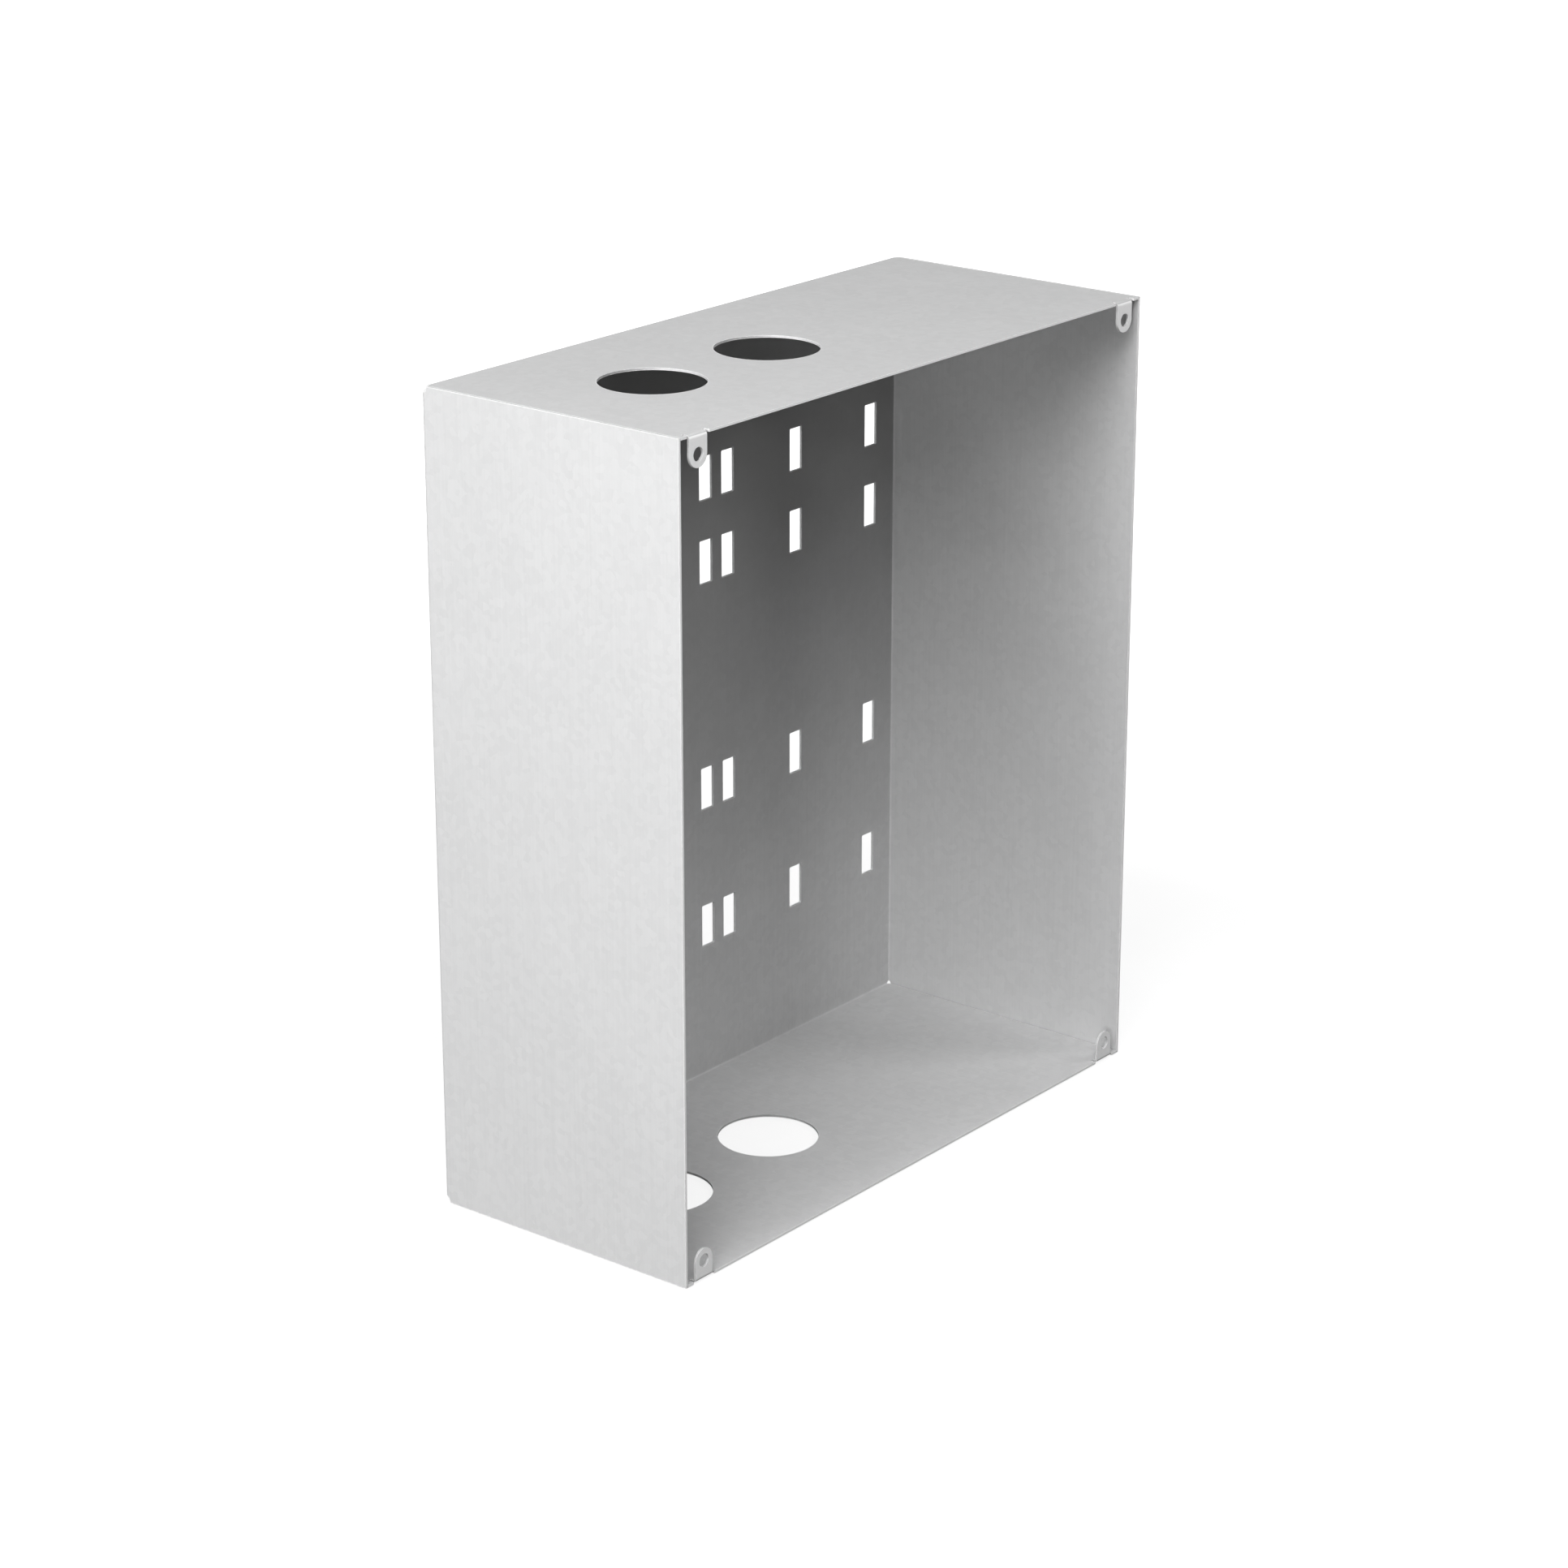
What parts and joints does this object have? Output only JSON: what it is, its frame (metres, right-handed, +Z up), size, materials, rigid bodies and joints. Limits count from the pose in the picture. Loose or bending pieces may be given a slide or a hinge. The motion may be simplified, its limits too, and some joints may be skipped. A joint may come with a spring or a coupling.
{
  "type": "flush mounting box",
  "caption": "Open-fronted box folded from sheet steel, to be set flush in a wall, with round cable entries in top and bottom, a slotted back and screw lugs at the front corners.",
  "frame": {"origin": "middle of the footprint, on the underside of the bottom wall", "axes": "+Z up along the height, +Y out of the back wall into the wall behind, the open front faces -Y, +X to the right as seen from the front"},
  "size_m": [0.35, 0.15, 0.4],
  "materials": {
    "galvanised_sheet": "satin"
  },
  "bodies": {
    "root": {"box_body": "galvanised_sheet"}
  },
  "joints": []
}
